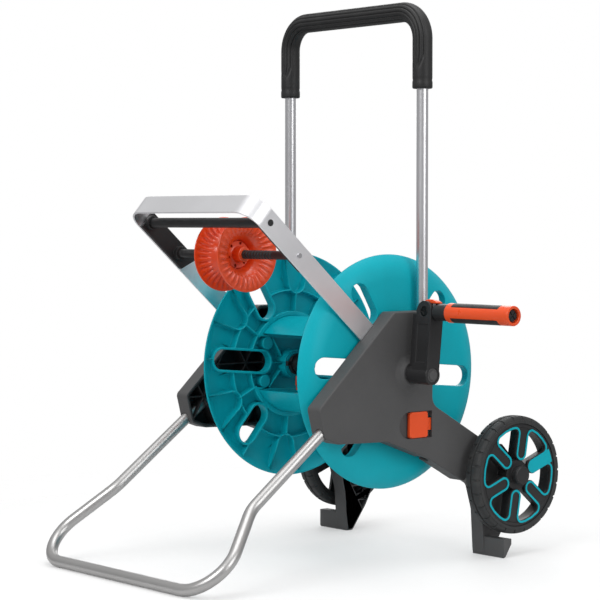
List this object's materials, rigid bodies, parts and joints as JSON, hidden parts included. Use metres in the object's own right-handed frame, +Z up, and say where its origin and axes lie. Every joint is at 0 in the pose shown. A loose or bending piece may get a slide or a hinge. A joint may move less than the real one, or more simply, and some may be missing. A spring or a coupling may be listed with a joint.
{
  "type": "garden hose reel cart",
  "caption": "Wheeled hose reel cart with a crank-turned reel, folding crank grip, sliding hose guide roller, telescopic handle and tubular front stand.",
  "frame": {"origin": "on the floor, below the centre of the cart's bounding box", "axes": "+X across the cart towards the crank, +Y from the front stand to the wheels, +Z up"},
  "size_m": [0.648, 0.7544, 0.9095],
  "materials": {
    "teal_plastic": "satin moulded",
    "orange_plastic": "satin moulded",
    "grey_plastic": "fine grain",
    "black_plastic": "satin moulded",
    "soft_grip": "soft touch",
    "tyre_rubber": "matt",
    "aluminium_tube": "satin anodised",
    "steel": "plain"
  },
  "bodies": {
    "frame": {"side_panel_right": "grey_plastic", "side_panel_left": "grey_plastic", "side_frame_right": "black_plastic", "side_frame_left": "black_plastic", "foot_right": "grey_plastic", "foot_left": "grey_plastic", "panel_screws": "steel", "front_stand": "aluminium_tube", "stand_screws": "steel", "guide_frame": "aluminium_tube", "guide_liner_right": "black_plastic", "guide_liner_left": "black_plastic", "guide_rod_upper": "black_plastic", "guide_rod_lower": "black_plastic", "guide_rod_plugs": "black_plastic", "guide_bolts": "steel", "wheel_axle": "steel", "axle_nuts": "steel", "reel_bush_right": "black_plastic", "reel_bush_left": "black_plastic", "handle_bushes": "black_plastic", "latch_spring_right": "steel", "latch_spring_left": "steel"},
    "reel": {"reel_flange_right": "teal_plastic", "reel_flange_left": "teal_plastic", "drum_bars": "teal_plastic", "hub_sleeves": "teal_plastic", "reel_axle": "steel", "crank_shaft": "steel", "axle_clip": "black_plastic", "drum_elbow": "black_plastic", "drum_coupling": "orange_plastic", "crank_arm": "black_plastic", "crank_cap": "grey_plastic", "crank_screw": "steel"},
    "knuckle": {"grip_knuckle": "black_plastic", "button_spring": "steel"},
    "fold_button": {"fold_button": "orange_plastic"},
    "grip": {"grip_sleeve": "orange_plastic", "grip_pads": "soft_grip", "grip_clip": "black_plastic"},
    "roller_carriage": {"roller_bush": "orange_plastic"},
    "roller": {"roller_half_right": "orange_plastic", "roller_half_left": "orange_plastic"},
    "inlet": {"inlet_elbow": "black_plastic", "inlet_nut": "grey_plastic", "inlet_nipple": "black_plastic"},
    "handle": {"handle_tube": "aluminium_tube", "handle_grip": "soft_grip", "handle_plugs": "black_plastic"},
    "latch_right": {"latch_right": "orange_plastic"},
    "latch_left": {"latch_left": "orange_plastic"},
    "wheel_right": {"wheel_rim_right": "black_plastic", "tyre_right": "tyre_rubber", "wheel_trim_right": "teal_plastic", "hub_cap_right": "black_plastic"},
    "wheel_left": {"wheel_rim_left": "black_plastic", "tyre_left": "tyre_rubber", "wheel_trim_left": "teal_plastic", "hub_cap_left": "black_plastic"}
  },
  "joints": [
    {"name": "reel_spin", "type": "hinge", "parent": "frame", "child": "reel", "pos_m": [-0.086, 0.06985, 0.31], "axis": [1, 0, 0], "continuous": true},
    {"name": "crank_fold", "type": "hinge", "parent": "reel", "child": "knuckle", "pos_m": [0.139, 0.07857, 0.40962], "axis": [0, 0.9962, -0.0872], "range_deg": [-90, 0]},
    {"name": "fold_button_press", "type": "slide", "parent": "knuckle", "child": "fold_button", "axis": [0, -0.0872, -0.9962], "range_m": [0, 0.003], "stiffness_N_per_m": 600, "springref_m": -0.001, "deforming": ["button_spring"]},
    {"name": "grip_spin", "type": "hinge", "parent": "knuckle", "child": "grip", "pos_m": [0.194, 0.07857, 0.40962], "axis": [1, 0, 0], "continuous": true},
    {"name": "roller_slide", "type": "slide", "parent": "frame", "child": "roller_carriage", "axis": [1, 0, 0], "range_m": [-0.11, 0.11]},
    {"name": "roller_spin", "type": "hinge", "parent": "roller_carriage", "child": "roller", "pos_m": [-0.086, -0.13663, 0.50032], "axis": [1, 0, 0], "continuous": true},
    {"name": "inlet_swivel", "type": "hinge", "parent": "frame", "child": "inlet", "pos_m": [-0.298, 0.06985, 0.31], "axis": [1, 0, 0], "range_deg": [-180, 180]},
    {"name": "handle_slide", "type": "slide", "parent": "frame", "child": "handle", "axis": [0, 0, 1], "range_m": [-0.19, 0]},
    {"name": "latch_right_press", "type": "slide", "parent": "frame", "child": "latch_right", "axis": [0, 1, 0], "range_m": [0, 0.008], "stiffness_N_per_m": 800, "springref_m": -0.002, "deforming": ["latch_spring_right"]},
    {"name": "latch_left_press", "type": "slide", "parent": "frame", "child": "latch_left", "axis": [0, 1, 0], "range_m": [0, 0.008], "stiffness_N_per_m": 800, "springref_m": -0.002, "deforming": ["latch_spring_left"]},
    {"name": "wheel_right_spin", "type": "hinge", "parent": "frame", "child": "wheel_right", "pos_m": [0.128, 0.27925, 0.134], "axis": [1, 0, 0], "continuous": true},
    {"name": "wheel_left_spin", "type": "hinge", "parent": "frame", "child": "wheel_left", "pos_m": [-0.3, 0.27925, 0.134], "axis": [1, 0, 0], "continuous": true}
  ]
}
